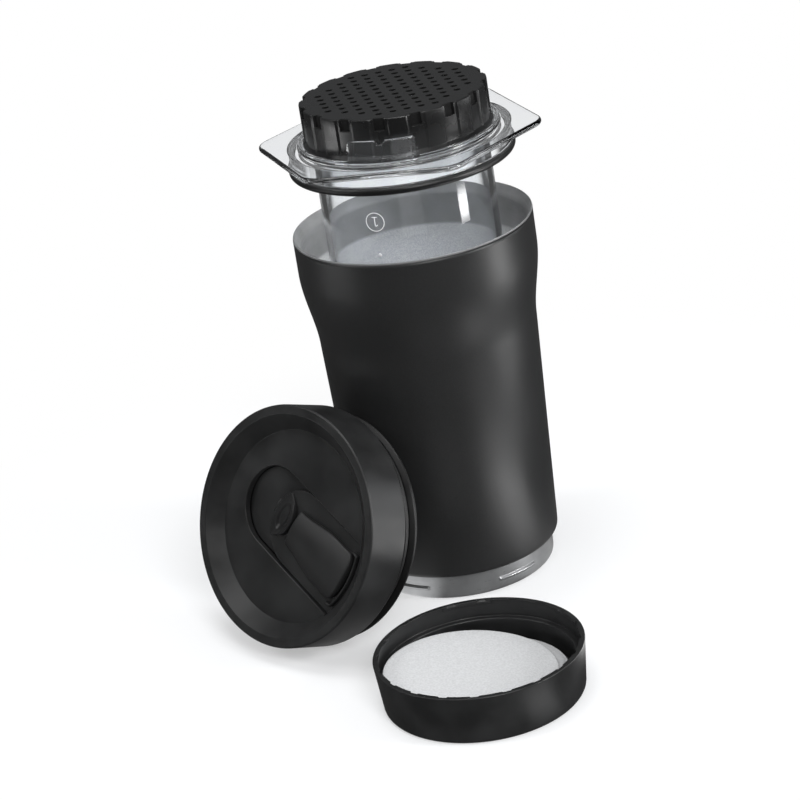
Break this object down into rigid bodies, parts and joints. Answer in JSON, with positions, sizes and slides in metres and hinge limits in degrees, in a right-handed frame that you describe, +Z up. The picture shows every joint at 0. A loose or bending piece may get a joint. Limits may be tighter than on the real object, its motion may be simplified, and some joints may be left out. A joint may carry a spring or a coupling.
{
  "type": "piston coffee press with travel tumbler",
  "caption": "Clear piston coffee press with perforated filter cap standing out of its double-walled steel travel tumbler, with sliding-mouth lid and filter paper holder.",
  "frame": {"origin": "centre of the tumbler's flat base, on the surface it stands on", "axes": "+Z up along the tumbler's axis; the picture is taken from -Y, so the lid stands at -X -Y and the paper holder at -Y"},
  "size_m": [0.1526, 0.2057, 0.1953],
  "materials": {
    "black_coat": "matte black powder coat",
    "liner_steel": "satin stainless steel",
    "base_steel": "turned stainless steel",
    "getter_metal": "sintered metal",
    "grey_plastic": "satin moulded plastic",
    "black_rubber": "smooth silicone rubber",
    "clear_plastic": "clear polished plastic",
    "cap_plastic": "satin moulded plastic",
    "lid_plastic": "satin moulded plastic",
    "plug_plastic": "fine grained moulded plastic",
    "slider_plastic": "satin moulded plastic",
    "holder_plastic": "satin moulded plastic",
    "filter_paper": "white creped filter paper"
  },
  "bodies": {
    "tumbler": {"outer_shell": "black_coat", "inner_liner": "liner_steel", "base_cup": "base_steel", "vacuum_getter": "getter_metal"},
    "plunger": {"plunger_tube": "grey_plastic", "plunger_seal": "black_rubber"},
    "press_chamber": {"chamber": "clear_plastic", "chamber_seal_ring": "black_rubber"},
    "filter_cap": {"filter_cap": "cap_plastic"},
    "lid": {"lid_cover": "lid_plastic", "slot_tray": "lid_plastic", "lid_plug": "plug_plastic", "lid_gasket_front": "black_rubber", "lid_gasket_rear": "black_rubber"},
    "lid_slider": {"lid_slider": "slider_plastic", "slider_seal": "black_rubber", "slider_clip": "slider_plastic"},
    "filter_holder": {"filter_holder": "holder_plastic", "paper_stack": "filter_paper", "second_paper": "filter_paper"},
    "loose_paper": {"loose_paper": "filter_paper"}
  },
  "joints": [
    {"name": "plunger_push", "type": "slide", "parent": "tumbler", "child": "plunger", "axis": [0, 0, 1], "range_m": [0, 0.046]},
    {"name": "chamber_lift", "type": "slide", "parent": "tumbler", "child": "press_chamber", "axis": [0, 0, 1], "range_m": [-0.033, 0.06]},
    {"name": "cap_twist", "type": "hinge", "parent": "press_chamber", "child": "filter_cap", "pos_m": [0, 0, 0.18], "axis": [0, 0, 1], "range_deg": [0, 40]},
    {"name": "lid_pull", "type": "slide", "parent": "tumbler", "child": "lid", "axis": [-0.6667, -0.6327, 0.3939], "range_m": [0, 0.09]},
    {"name": "slider_slide", "type": "slide", "parent": "lid", "child": "lid_slider", "axis": [-0.4885, 0.7702, 0.4101], "range_m": [0, 0.015]},
    {"name": "holder_lift", "type": "slide", "parent": "tumbler", "child": "filter_holder", "axis": [0, 0, 1], "range_m": [0, 0.08]},
    {"name": "paper_lift", "type": "slide", "parent": "filter_holder", "child": "loose_paper", "axis": [0, 0, 1], "range_m": [0, 0.04]}
  ]
}
